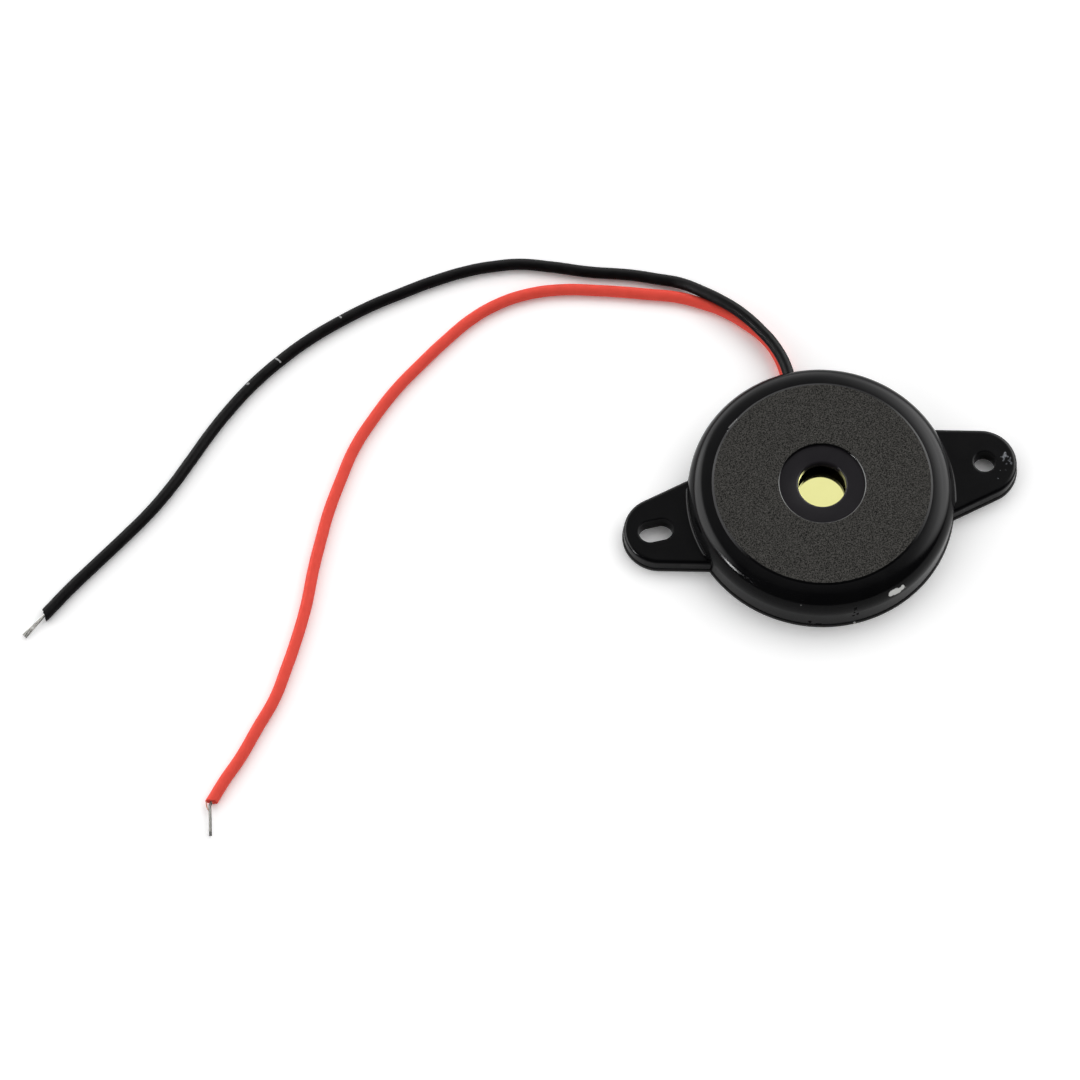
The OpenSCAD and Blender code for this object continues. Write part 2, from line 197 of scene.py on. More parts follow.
class StageSettings(bpy.types.PropertyGroup):
    """Camera and light of the stage."""

    azimuth: angle_setting("Azimuth", "Turn of the camera about Z", -12.87)
    elevation: angle_setting("Elevation", "Camera above the horizon", 66.36)
    place: FloatVectorProperty(name="Place", description="Where the camera stands", size=3, unit="LENGTH",
                               subtype="XYZ", default=(-0.08971, -0.24379, 0.5778))
    lens: FloatProperty(name="Lens", description="Focal length", default=178.1, unit="CAMERA")
    behind: strength_setting("Back light", "High soft light from behind", 4.065)
    right: strength_setting("Right light", "High soft light from the right", 2.4)
    corner: strength_setting("Corner light", "Soft light from the right behind", 0.592)
    left: strength_setting("Left light", "Low soft light from the left", 3.08)
    backdrop: strength_setting("Backdrop", "Wide reflection from behind", 2.4)


class BuzzerSettings(bpy.types.PropertyGroup):
    """All settings of the buzzer."""

    housing: PointerProperty(type=HousingSettings)
    leads: PointerProperty(type=LeadSettings)
    finish: PointerProperty(type=FinishSettings)
    stage: PointerProperty(type=StageSettings)


def add_object(name, mesh_bm, materials, angle=30.0):
    """Turns an edit mesh into an object with smooth faces and sharp creases."""
    bmesh.ops.remove_doubles(mesh_bm, verts=mesh_bm.verts[:], dist=1e-7)
    bmesh.ops.recalc_face_normals(mesh_bm, faces=mesh_bm.faces[:])
    mesh = bpy.data.meshes.new(name)
    mesh_bm.to_mesh(mesh)
    mesh_bm.free()
    mesh.shade_smooth()
    mesh.set_sharp_from_angle(angle=math.radians(angle))
    for material in materials:
        mesh.materials.append(material)
    obj = bpy.data.objects.new(name, mesh)
    bpy.context.scene.collection.objects.link(obj)
    return obj


def dress(obj, slot, *nodes):
    """Lets a finished piece ride on the part and stand for its solids."""
    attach(obj, "root")
    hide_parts(*nodes)
    return obj


def add_loop(bm, points):
    """Closed loop of edges through the points."""
    verts = [bm.verts.new(p) for p in points]
    return [bm.edges.new((a, b)) for a, b in zip(verts, verts[1:] + verts[:1])]


def circle_edges(bm, radius, z):
    """Edges of the circle of that radius and height about Z."""

    def on_circle(v):
        return abs(math.hypot(v.co.x, v.co.y) - radius) < 2e-6 and abs(v.co.z - z) < 2e-6

    return [e for e in bm.edges if all(on_circle(v) for v in e.verts)]


def round_edges(bm, edges, radius, segments):
    """Rounds edges with a bevel."""
    bmesh.ops.bevel(bm, geom=edges, offset=radius, offset_type="OFFSET", segments=segments, profile=0.5,
                    affect="EDGES", material=-1, clamp_overlap=False, loop_slide=True)


def front_radius(s):
    """Radius of the foot of the slope that leads up to the grained front."""
    rim = s.flank * (1.0 - math.sin(s.rim_turn)) + s.rim * (math.sin(s.rim_turn) - math.sin(s.fall))
    return s.body_radius - rim - s.shoulder


def arc_points(r, z, radius, start, end, count):
    """Points of an arc in the half section, between two angles measured from upright."""
    turns = [start + (end - start) * i / count for i in range(count + 1)]
    return [(r + radius * math.sin(t), z + radius * math.cos(t)) for t in turns]


def body_mesh(s):
    """Round body: a half section spun about Z, with its edges rounded."""
    shoulder_z = s.height - s.step
    recess_z = s.height - s.recess_depth
    front_z = shoulder_z - s.front_wall
    front_r = front_radius(s)
    rim_r = front_r + s.shoulder - s.rim * math.sin(s.fall)
    rim_z = shoulder_z - s.shoulder * math.tan(s.fall) - s.rim * math.cos(s.fall)
    flank_r, flank_z = s.body_radius - s.flank, rim_z - (s.flank - s.rim) * math.cos(s.rim_turn)
    section = [
        (s.hole_radius, front_z), (s.hole_radius, recess_z), (s.recess_radius, recess_z), (s.recess_radius, s.height),
        (front_r - s.slope, s.height),
    ]
    rim_start = s.fall + s.crown
    end_r, end_z = rim_r + s.rim * math.sin(rim_start), rim_z + s.rim * math.cos(rim_start)
    run, drop = end_r - front_r, shoulder_z - end_z
    shoulder_start = 2 * math.atan2(drop, run) - rim_start
    bow = math.hypot(run, drop) / (2 * math.sin((rim_start - shoulder_start) / 2))
    section += arc_points(end_r - bow * math.sin(rim_start), end_z - bow * math.cos(rim_start), bow,
                          shoulder_start, rim_start, 6)
    section += arc_points(rim_r, rim_z, s.rim, rim_start, s.rim_turn, 12)[1:]
    section += arc_points(flank_r, flank_z, s.flank, s.rim_turn, math.pi / 2, 8)[1:]
    section += [
        (s.body_radius, s.lip_height), (s.body_radius + s.lip, s.lip_height), (s.body_radius + s.lip, 0.0),
        (s.seat_radius, 0.0), (s.seat_radius, s.seat), (s.bore_radius, s.seat), (s.bore_radius, s.ledge),
        (s.cavity_radius, s.ledge), (s.cavity_radius, front_z),
    ]
    bm = bmesh.new()
    add_loop(bm, [(r, 0.0, z) for r, z in section])
    bmesh.ops.spin(bm, geom=bm.verts[:] + bm.edges[:], cent=(0, 0, 0), axis=(0, 0, 1), dvec=(0, 0, 0),
                   angle=math.tau, steps=s.steps, use_merge=True, use_duplicate=False)
    bmesh.ops.remove_doubles(bm, verts=bm.verts[:], dist=1e-7)
    bmesh.ops.recalc_face_normals(bm, faces=bm.faces[:])
    round_edges(bm, circle_edges(bm, s.hole_radius, recess_z), s.hole_edge, 5)
    round_edges(bm, circle_edges(bm, s.recess_radius, s.height), s.recess_edge, 4)
    round_edges(bm, circle_edges(bm, s.body_radius + s.lip, s.lip_height), s.edge * 0.6, 2)
    return bm


def lead_slot_mesh(s):
    """Cutter for the arched slot in the rear wall."""
    half = s.lead_slot / 2
    arch = [(half * math.cos(t), s.lead_slot_height + half * math.sin(t))
            for t in (math.pi * i / 12 for i in range(13))]
    bm = bmesh.new()
    start = [(x, s.cavity_radius, z) for x, z in [(-half, -0.001), (half, -0.001)] + arch]
    edges = add_loop(bm, start)
    face = bmesh.ops.contextual_create(bm, geom=edges)["faces"]
    made = bmesh.ops.extrude_face_region(bm, geom=face)["geom"]
    moved = [g for g in made if isinstance(g, bmesh.types.BMVert)]
    bmesh.ops.translate(bm, verts=moved, vec=(0, s.body_radius + 2 * s.lip - s.cavity_radius, 0))
    bmesh.ops.recalc_face_normals(bm, faces=bm.faces[:])
    return bm


def cut_away(bm, cutter):
    """Returns the edit mesh with the cutter's shape taken out of it."""
    target = add_object("cut_target", bm, [])
    tool = add_object("cut_tool", cutter, [])
    modifier = target.modifiers.new("Cut", "BOOLEAN")
    modifier.operation = "DIFFERENCE"
    modifier.solver = "EXACT"
    modifier.object = tool
    evaluated = target.evaluated_get(bpy.context.evaluated_depsgraph_get())
    result = bmesh.new()
    result.from_mesh(evaluated.to_mesh())
    evaluated.to_mesh_clear()
    for obj in (target, tool):
        mesh = obj.data
        bpy.data.objects.remove(obj)
        bpy.data.meshes.remove(mesh)
    return result


def ear_reach(s, angle, radius, back):
    """Distance from the screw hole's centre to the ear's outline in one direction."""
    run, rise, offset = math.cos(angle), abs(math.sin(angle)), s.ear_set_in
    reach = -offset * run + math.sqrt(radius * radius - (offset * rise) ** 2)
    if offset + reach * run < radius * math.sin(s.ear_flare):
        fall = run * math.sin(s.ear_flare) + rise * math.cos(s.ear_flare)
        side = (radius - offset * math.sin(s.ear_flare)) / fall if fall > 1e-6 else 1.0
        reach = min(side, (back - s.pitch / 2) / run if run < 0 else 1.0)
    return reach


def slot_reach(angle, radius, half):
    """Distance from a slot's centre to its wall in one direction; half is 0 for a round hole."""
    run, rise = abs(math.cos(angle)), abs(math.sin(angle))
    if rise > 1e-9 and radius / rise * run <= half:
        return radius / rise
    return half * run + math.sqrt(radius * radius - (half * rise) ** 2)


def ear_mesh(s, hole_radius, hole_half, foot):
    """One ear at the +X side, extruded ring by ring out of its hole; its inner end lies in the wall."""
    centre = s.pitch / 2
    back = s.seat_radius + 0.0002
    outer, lip_outer, lip_top = s.ear_radius, s.ear_radius + s.lip, s.lip_height - foot
    hole, flat_in, flat_out = hole_radius, hole_radius + 2.5 * s.edge, outer - 1.4 * s.ear_edge

    def place(verts, z, radius):
        for v in verts:
            t = math.atan2(v.co.y, v.co.x - centre)
            d = slot_reach(t, radius, hole_half) if radius <= flat_in else ear_reach(s, t, radius, back)
            v.co = (centre + d * math.cos(t), d * math.sin(t), z)

    bm = bmesh.new()
    first = bmesh.ops.create_circle(bm, cap_ends=False, radius=hole_radius, segments=128,
                                    matrix=Matrix.Translation((centre, 0.0, 0.0)))["verts"]
    place(first, foot, hole)
    edges = bm.edges[:]
    rings = []
    for z, radius in [(s.ear, hole), (s.ear, flat_in), (s.ear, flat_out), (s.ear, outer), (lip_top, outer),
                      (lip_top, lip_outer), (foot, lip_outer), (foot, hole)]:
        made = bmesh.ops.extrude_edge_only(bm, edges=edges)["geom"]
        verts = {g for g in made if isinstance(g, bmesh.types.BMVert)}
        edges = [g for g in made if isinstance(g, bmesh.types.BMEdge) and all(v in verts for v in g.verts)]
        place(verts, z, radius)
        rings.append(edges)
    bmesh.ops.remove_doubles(bm, verts=first + list(verts), dist=1e-7)
    bmesh.ops.recalc_face_normals(bm, faces=bm.faces[:])
    round_edges(bm, rings[3], s.ear_edge, 6)
    round_edges(bm, rings[0], s.edge * 0.4, 2)
    round_edges(bm, rings[5], s.edge * 0.6, 2)
    return bm


def root_mesh(s):
    """Hollow fillet where the +X ear meets the wall, spun through the width of the ear."""
    sunk = 0.0003
    past, taper, end_share = math.radians(1.0), math.radians(3.0), 0.4
    inner, outer, base = s.body_radius - sunk, s.body_radius + s.ear_root, s.ear - sunk
    arc = [(outer - s.ear_root * math.sin(t), s.ear + s.ear_root - s.ear_root * math.cos(t))
           for t in (math.pi / 2 * i / 10 for i in range(11))]
    section = [(inner, base), (outer, base)] + arc + [(inner, s.ear + s.ear_root)]
    width = s.ear_radius - s.ear_edge + (s.pitch / 2 - s.ear_set_in - s.body_radius) * math.sin(s.ear_flare)
    half = math.asin(width / math.cos(s.ear_flare) / outer) + past
    turn = Matrix.Rotation(-half, 3, "Z")
    bm = bmesh.new()
    edges = add_loop(bm, [turn @ Vector((r, 0.0, z)) for r, z in section])
    face = bmesh.ops.contextual_create(bm, geom=edges)["faces"]
    bmesh.ops.spin(bm, geom=bm.verts[:] + bm.edges[:] + face, cent=(0, 0, 0), axis=(0, 0, 1), dvec=(0, 0, 0),
                   angle=2 * half, steps=48, use_merge=False, use_duplicate=False)
    for v in bm.verts:
        angle = math.atan2(v.co.y, v.co.x)
        share = end_share + (1 - end_share) * min(1.0, (half - abs(angle)) / taper)
        r = inner + (math.hypot(v.co.x, v.co.y) - inner) * share
        v.co = (r * math.cos(angle), r * math.sin(angle), base + (v.co.z - base) * share)
    bmesh.ops.recalc_face_normals(bm, faces=bm.faces[:])
    return bm


def join_mesh(bm, other, turn=0.0):
    """Adds another edit mesh, turned about Z, and frees it."""
    bmesh.ops.rotate(other, verts=other.verts[:], cent=(0, 0, 0), matrix=Matrix.Rotation(turn, 3, "Z"))
    mesh = bpy.data.meshes.new("join")
    other.to_mesh(mesh)
    other.free()
    bm.from_mesh(mesh)
    bpy.data.meshes.remove(mesh)


class Graph:
    """Short way to add nodes and links to a node tree."""

    def __init__(self, tree):
        self.tree = tree

    def node(self, kind, inputs=None, **settings):
        """Adds a node; inputs may be values or sockets, by name or number."""
        made = self.tree.nodes.new(kind)
        for key, value in settings.items():
            setattr(made, key, value)
        for key, value in (inputs or {}).items():
            self.feed(made.inputs[key], value)
        return made

    def feed(self, socket, value):
        """Links a socket, or sets a constant on it."""
        if isinstance(value, bpy.types.NodeSocket):
            self.tree.links.new(value, socket)
        else:
            socket.default_value = value

    def calc(self, operation, a, b=0.0, clamp=False):
        """One step of arithmetic."""
        return self.node("ShaderNodeMath", {0: a, 1: b}, operation=operation, use_clamp=clamp).outputs[0]

    def ramp(self, value, low, high, to_low=0.0, to_high=1.0):
        """Maps a value from one span to another, clamped."""
        made = self.node("ShaderNodeMapRange", {"Value": value, "From Min": low, "From Max": high,
                                                "To Min": to_low, "To Max": to_high})
        return made.outputs["Result"]

    def mix(self, factor, a, b):
        """Mixes two colours."""
        made = self.node("ShaderNodeMix", {"Factor": factor}, data_type="RGBA")
        self.feed(made.inputs[6], a)
        self.feed(made.inputs[7], b)
        return made.outputs[2]

    def blend(self, factor, a, b):
        """Mixes two values."""
        return self.node("ShaderNodeMix", {0: factor, 2: a, 3: b}, data_type="FLOAT").outputs[0]

    def noise(self, vector, scale, detail=2.0):
        """Noise value about 0.5."""
        made = self.node("ShaderNodeTexNoise", {"Vector": vector, "Scale": scale, "Detail": detail})
        return made.outputs[0]


def new_group(name, inputs, outputs):
    """Empty shader node group with the sockets named."""
    tree = bpy.data.node_groups.new(name, "ShaderNodeTree")
    for label, kind in inputs:
        tree.interface.new_socket(name=label, in_out="INPUT", socket_type=kind)
    for label, kind in outputs:
        tree.interface.new_socket(name=label, in_out="OUTPUT", socket_type=kind)
    graph = Graph(tree)
    return graph, graph.node("NodeGroupInput"), graph.node("NodeGroupOutput")


def mark_group():
    """Ragged worn mark along a line: 1 on it, 0 away from it."""
    found = bpy.data.node_groups.get("Worn Mark")
    if found:
        return found
    graph, given, put = new_group(
        "Worn Mark",
        [("Vector", "NodeSocketVector"), ("Start", "NodeSocketVector"), ("End", "NodeSocketVector"),
         ("Width", "NodeSocketFloat"), ("Ragged", "NodeSocketFloat"), ("Scale", "NodeSocketFloat")],
        [("Mask", "NodeSocketFloat")])

    def vector(operation, a, b=None, output=0):
        return graph.node("ShaderNodeVectorMath", {0: a} if b is None else {0: a, 1: b},
                          operation=operation).outputs[output]

    reach = vector("SUBTRACT", given.outputs["Vector"], given.outputs["Start"])
    line = vector("SUBTRACT", given.outputs["End"], given.outputs["Start"])
    run = vector("DOT_PRODUCT", reach, line, "Value")
    share = graph.calc("DIVIDE", run, vector("DOT_PRODUCT", line, line, "Value"), clamp=True)
    along = graph.node("ShaderNodeVectorMath", {0: line, "Scale": share}, operation="SCALE").outputs[0]
    away = vector("LENGTH", vector("SUBTRACT", reach, along), None, "Value")
    noise = graph.noise(given.outputs["Vector"], given.outputs["Scale"], 3.0)
    shift = graph.calc("MULTIPLY", graph.calc("SUBTRACT", noise, 0.5), given.outputs["Ragged"])
    edge = graph.calc("ADD", graph.calc("DIVIDE", away, given.outputs["Width"]), shift)
    graph.feed(put.inputs["Mask"], graph.ramp(edge, 1.0, 0.75))
    return graph.tree


def new_material(name):
    """Material with a Principled shader; returns it, its graph, the shader and the Object coordinates."""
    material = bpy.data.materials.new(name)
    material.use_nodes = True
    graph = Graph(material.node_tree)
    shader = material.node_tree.nodes["Principled BSDF"]
    coordinates = graph.node("ShaderNodeTexCoord").outputs["Object"]
    return material, graph, shader, coordinates


def marks(graph, coordinates, lines, ragged, scale):
    """Mask of all the worn marks listed as start, end, width and strength."""
    total = None
    for start, end, width, strength in lines:
        made = graph.node("ShaderNodeGroup", {"Vector": coordinates, "Start": start, "End": end, "Width": width,
                                              "Ragged": ragged, "Scale": scale}, node_tree=mark_group())
        mask = graph.calc("MULTIPLY", made.outputs["Mask"], strength)
        total = mask if total is None else graph.calc("MAXIMUM", total, mask)
    return total


# Worn marks on the housing and the leads: start, end, half width and strength
PALE_MARKS = [
    ((0.00472, -0.0148, 0.0042), (0.00524, -0.01462, 0.00423), 0.0005, 1.0),
    ((0.0052, -0.01466, 0.00408), (0.0061, -0.01434, 0.00404), 0.00036, 1.0),
    ((0.0052, -0.01467, 0.00395), (0.00565, -0.01456, 0.00388), 0.0004, 1.0),
    ((0.00616, -0.01428, 0.00428), (0.00616, -0.01433, 0.00402), 0.00028, 1.0),
    ((0.00652, -0.01424, 0.00377), (0.00652, -0.01424, 0.00377), 0.00015, 0.25),
    ((0.00017, -0.01588, 0.0003), (0.00017, -0.0159, 0.00015), 0.00016, 0.7),
    ((-0.00605, -0.01408, 0.00467), (-0.00605, -0.01408, 0.00467), 0.0001, 0.15),
    ((-0.009, 0.00947, 0.00575), (-0.00783, 0.01032, 0.00579), 0.00009, 0.2),
    ((-0.00925, 0.00907, 0.00577), (-0.00925, 0.00907, 0.00577), 0.00008, 0.3),
]
SCUFF_MARKS = [
    ((0.02262, 0.0006, 0.0022), (0.0225, 0.00012, 0.0022), 0.00013, 0.42),
    ((0.02258, 0.00046, 0.0022), (0.02226, 0.00008, 0.0022), 0.00013, 0.34),
    ((0.0226, 0.00044, 0.0022), (0.02276, -0.00002, 0.0022), 0.00012, 0.3),
    ((0.02236, 0.0001, 0.0022), (0.02204, 0.00016, 0.0022), 0.0001, 0.22),
    ((0.02238, 0.00002, 0.0022), (0.02218, -0.00036, 0.0022), 0.00012, 0.2),
    ((0.02308, -0.0002, 0.0022), (0.02292, -0.00044, 0.0022), 0.00009, 0.18),
    ((0.02284, -0.0005, 0.0022), (0.0229, -0.0006, 0.0022), 0.00014, 0.22),
    ((0.02302, -0.00084, 0.0022), (0.02296, -0.00098, 0.0022), 0.00013, 0.18),
    ((0.0224, -0.00084, 0.0022), (0.0224, -0.00084, 0.0022), 0.00012, 0.12),
    ((0.02149, -0.00152, 0.0022), (0.02149, -0.00152, 0.0022), 0.00009, 0.25),
    ((0.02093, -0.00248, 0.0022), (0.02093, -0.00248, 0.0022), 0.0001, 0.2),
    ((0.0221, -0.0016, 0.0022), (0.02216, -0.00168, 0.0022), 0.00008, 0.1),
]
DARK_MARKS = [
    ((0.00018, -0.01562, 0.00393), (0.00012, -0.01567, 0.00372), 0.00022, 1.0),
    ((0.00004, -0.01575, 0.00312), (0.00003, -0.01575, 0.003), 0.00014, 0.9),
    ((-0.00004, -0.01575, 0.0023), (-0.00002, -0.01575, 0.00218), 0.00016, 0.9),
    ((0.00046, -0.01574, 0.00262), (0.00045, -0.01574, 0.00238), 0.00015, 0.9),
    ((-0.00504, -0.01492, 0.00124), (-0.005, -0.01493, 0.001), 0.00022, 0.9),
    ((-0.0042, -0.01518, 0.0006), (-0.0038, -0.01528, 0.0006), 0.0002, 0.9),
]


BLACK_TICKS = [
    ((-0.0505, 0.0363, 0.0011), (-0.0503, 0.0359, 0.0014), 0.00013, 0.5),
    ((-0.0592, 0.0326, 0.0013), (-0.0586, 0.0318, 0.0013), 0.00014, 0.6),
    ((-0.0630, 0.0299, 0.0013), (-0.0629, 0.0298, 0.0013), 0.00022, 0.3),
]
DULL_END = [((-0.07868, -0.02505, 0.0006), (-0.0787, -0.02525, 0.0006), 0.00035, 0.8)]
# Fineness of the patterns in the plastic
FINE_GRAIN, COARSE_GRAIN, MOTTLE = 7600.0, 4200.0, 420.0
# Gloss of the plastic on smooth faces, on the grained front and on the edge of the recess
SMOOTH_ROUGHNESS, GRAIN_ROUGHNESS = 0.17, 0.55
SMOOTH_SPECULAR, GRAIN_SPECULAR = 0.5, 0.15
SMOOTH_IOR, RECESS_EDGE_IOR = 1.15, 1.34
# Span of Y over which the bright edge of the recess fades
RECESS_EDGE_FADE = (0.003, 0.0015)
# Height within which a point counts as on a face
CLOSE = 0.00002


def rgba(colour):
    """Opaque colour for a socket."""
    return (*colour, 1.0)


def shades(finish, key):
    """Dark and light colour of a mottled finish."""
    return rgba(getattr(finish, key + "_dark")), rgba(getattr(finish, key + "_light"))


def housing_material(s, finish):
    """Black moulded plastic: grained front painted lighter as a sheen, with painted shade in the grain's hollows, satin
    elsewhere, with pale scuffs and dark nicks.
    """
    material, graph, shader, coordinates = new_material("black_moulding")
    flat = graph.node("ShaderNodeVectorMath", {0: coordinates, 1: (1.0, 1.0, 0.0)}, operation="MULTIPLY").outputs[0]
    radius = graph.node("ShaderNodeVectorMath", {0: flat}, operation="LENGTH").outputs["Value"]
    place = graph.node("ShaderNodeSeparateXYZ", {0: coordinates}).outputs
    height = place["Z"]

    def both(a, b):
        return graph.calc("MULTIPLY", a, b)

    def above(value, limit):
        return graph.calc("GREATER_THAN", value, limit)

    def below(value, limit):
        return graph.calc("LESS_THAN", value, limit)

    front = both(above(height, s.height - CLOSE), below(radius, front_radius(s) - s.slope))
    upper = above(height, s.ledge)
    recess = both(below(radius, s.recess_radius), upper)
    # Faces of the foot lips, which get the painted sheen
    lip = both(below(height, s.lip_height + CLOSE), above(height, CLOSE))
    lip = both(lip, above(radius, s.body_radius + CLOSE / 2))
    edge = both(below(radius, s.recess_radius + s.recess_edge), above(radius, s.recess_radius - CLOSE / 2))
    edge = both(both(edge, upper), graph.ramp(place["Y"], *RECESS_EDGE_FADE))
    edge = both(edge, graph.calc("SUBTRACT", 1.0, front))

    fine = graph.noise(coordinates, FINE_GRAIN, 2.0)
    coarse = graph.noise(coordinates, COARSE_GRAIN, 2.0)
    grain = graph.calc("ADD", graph.calc("MULTIPLY", fine, 0.72), graph.calc("MULTIPLY", coarse, 0.28))
    mottle = graph.noise(coordinates, MOTTLE, 2.0)
    chipped = marks(graph, coordinates, PALE_MARKS, 0.5, 4200.0)
    nicked = marks(graph, coordinates, DARK_MARKS, 1.8, 5000.0)
    scuffed = marks(graph, coordinates, SCUFF_MARKS, 2.8, 5000.0)
    scuffed = both(scuffed, graph.ramp(graph.noise(coordinates, 7000.0, 3.0), 0.36, 0.6, 0.25, 1.0))

    colour = graph.mix(mottle, *shades(finish, "plastic"))
    # Painted sheen: the foot lips in a lighter grey than the moulding
    colour = graph.mix(lip, colour, rgba(finish.lip))
    colour = graph.mix(recess, colour, graph.mix(mottle, *shades(finish, "recess")))
    # Painted sheen on the grained front, darker in the hollows of the grain's bump (painted shade) and lighter on its
    # peaks (painted sheen)
    colour = graph.mix(front, colour, graph.mix(graph.ramp(grain, 0.38, 0.62), *shades(finish, "grain")))
    colour = graph.mix(chipped, colour, rgba(finish.chip))
    colour = graph.mix(scuffed, colour, rgba(finish.scuff))
    rough = graph.ramp(front, 0.0, 1.0, SMOOTH_ROUGHNESS, GRAIN_ROUGHNESS)
    rough = graph.calc("ADD", rough, graph.calc("MULTIPLY", graph.calc("SUBTRACT", mottle, 0.5), 0.08))
    rough = graph.calc("MAXIMUM", rough, graph.calc("MAXIMUM", chipped, nicked))
    pits = graph.calc("MULTIPLY", nicked, graph.noise(coordinates, 9000.0, 2.0))
    grained = graph.node("ShaderNodeBump", {"Strength": graph.calc("MULTIPLY", front, 0.5), "Distance": 0.00004,
                                            "Height": grain})
    dented = graph.node("ShaderNodeBump", {"Distance": 0.0002, "Height": pits, "Normal": grained.outputs[0]})
    graph.feed(shader.inputs["Base Color"], colour)
    graph.feed(shader.inputs["Roughness"], rough)
    graph.feed(shader.inputs["Specular IOR Level"], graph.ramp(front, 0.0, 1.0, SMOOTH_SPECULAR, GRAIN_SPECULAR))
    graph.feed(shader.inputs["IOR"], graph.ramp(edge, 0.0, 1.0, SMOOTH_IOR, RECESS_EDGE_IOR))
    graph.feed(shader.inputs["Normal"], dented.outputs[0])
    return material


def metal_material(name, finish, key, scale, roughness, metallic=1.0):
    """Metal or coating with a fine cloudy variation; the dull strands also darken at their end."""
    material, graph, shader, coordinates = new_material(name)
    cloud = graph.noise(coordinates, scale, 4.0)
    colour = graph.mix(cloud, *shades(finish, key))
    if key == "dull":
        colour = graph.mix(marks(graph, coordinates, DULL_END, 0.8, 5000.0), colour, rgba(finish.dull_end))
    graph.feed(shader.inputs["Base Color"], colour)
    graph.feed(shader.inputs["Roughness"], graph.ramp(cloud, 0.2, 0.8, roughness * 0.8, roughness * 1.25))
    graph.feed(shader.inputs["Metallic"], metallic)
    return material


def insulation_material(name, finish, key, ior, ticks=()):
    """Soft plastic insulation with faint mottling and any short scuffs across it."""
    material, graph, shader, coordinates = new_material(name)
    mottle = graph.noise(coordinates, 900.0, 3.0)
    colour = graph.mix(mottle, *shades(finish, key))
    if ticks:
        colour = graph.mix(marks(graph, coordinates, ticks, 1.0, 4000.0), colour, rgba(finish.tick))
    fine = graph.noise(coordinates, 2500.0, 2.0)
    bump = graph.node("ShaderNodeBump", {"Strength": 0.12, "Distance": 0.00005, "Height": fine})
    graph.feed(shader.inputs["Base Color"], colour)
    graph.feed(shader.inputs["Roughness"], graph.ramp(mottle, 0.2, 0.8, 0.36, 0.5))
    graph.feed(shader.inputs["IOR"], ior)
    graph.feed(shader.inputs["Normal"], bump.outputs[0])
    return material


def lead_curve(name, route, radius, trim, material):
    """One lead: a smooth round tube through the route, which leaves the last bit to the cut end."""
    leg = Vector(route[-2]) - Vector(route[-1])
    route = route[:-1] + [tuple(Vector(route[-1]) + trim * leg.normalized())]
    curve = bpy.data.curves.new(name, "CURVE")
    curve.dimensions = "3D"
    curve.resolution_u = 8
    curve.bevel_depth = radius
    curve.bevel_resolution = 6
    curve.use_fill_caps = True
    spline = curve.splines.new("BEZIER")
    spline.bezier_points.add(len(route) - 1)
    for point, place in zip(spline.bezier_points, route):
        point.co = place
        point.handle_left_type = "AUTO"
        point.handle_right_type = "AUTO"
    curve.materials.append(material)
    obj = bpy.data.objects.new(name, curve)
    bpy.context.scene.collection.objects.link(obj)
    return obj


def cut_end(name, route, radius, trim, slant, material):
    """Last bit of a lead's insulation, cut at a slant with a ragged edge."""
    end = Vector(route[-1])
    along = (end - Vector(route[-2])).normalized()
    side = along.cross(Vector((0, 0, 1)))
    turn = Matrix((side, along.cross(side), along)).transposed().to_4x4()
    ragged = random.Random(7)
    bm = bmesh.new()
    bmesh.ops.create_cone(bm, cap_ends=True, segments=24, radius1=radius, radius2=radius, depth=trim)
    bmesh.ops.translate(bm, verts=bm.verts[:], vec=(0, 0, -trim / 2))
    cap = max(bm.faces, key=lambda f: f.calc_center_median().z)
    for v in cap.verts:
        v.co.z += slant * v.co.x / radius + ragged.uniform(-0.00006, 0.00006)
    bmesh.ops.inset_region(bm, faces=[cap], thickness=radius * 0.22, depth=0.0)
    bmesh.ops.inset_region(bm, faces=[cap], thickness=radius * 0.3, depth=-radius * 0.3)
    bmesh.ops.transform(bm, matrix=Matrix.Translation(end) @ turn, verts=bm.verts[:])
    return add_object(name, bm, [material], 40.0)


def strand_curve(name, path, strand, count, spread, turns, material):
    """Bare strands twisted along a path; spread gives the bundle's radius across and up at its two ends."""
    curve = bpy.data.curves.new(name, "CURVE")
    curve.dimensions = "3D"
    curve.bevel_depth = strand
    curve.bevel_resolution = 2
    curve.use_fill_caps = True
    points = [Vector(p) for p in path]
    steps = 16
    for index in range(count):
        spline = curve.splines.new("POLY")
        spline.points.add(steps)
        for step in range(steps + 1):
            share = step / steps
            place = share * (len(points) - 1)
            leg = min(int(place), len(points) - 2)
            centre = points[leg].lerp(points[leg + 1], place - leg)
            along = (points[leg + 1] - points[leg]).normalized()
            side = along.cross(Vector((0, 0, 1))).normalized()
            across = spread[0][0] + (spread[1][0] - spread[0][0]) * share
            rise = spread[0][1] + (spread[1][1] - spread[0][1]) * share
            angle = math.tau * (index / max(count - 1, 1) + turns * share)
            ring = 0.0 if index == count - 1 else 1.0
            spot = centre + ring * (side * math.cos(angle) * across + side.cross(along) * math.sin(angle) * rise)
            spline.points[step].co = (*spot, 1.0)
    curve.materials.append(material)
    obj = bpy.data.objects.new(name, curve)
    bpy.context.scene.collection.objects.link(obj)
    return obj


def paint_node(node, material):
    """Gives a solid of the part its finish."""
    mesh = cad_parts[node].data
    mesh.materials.clear()
    mesh.materials.append(material)


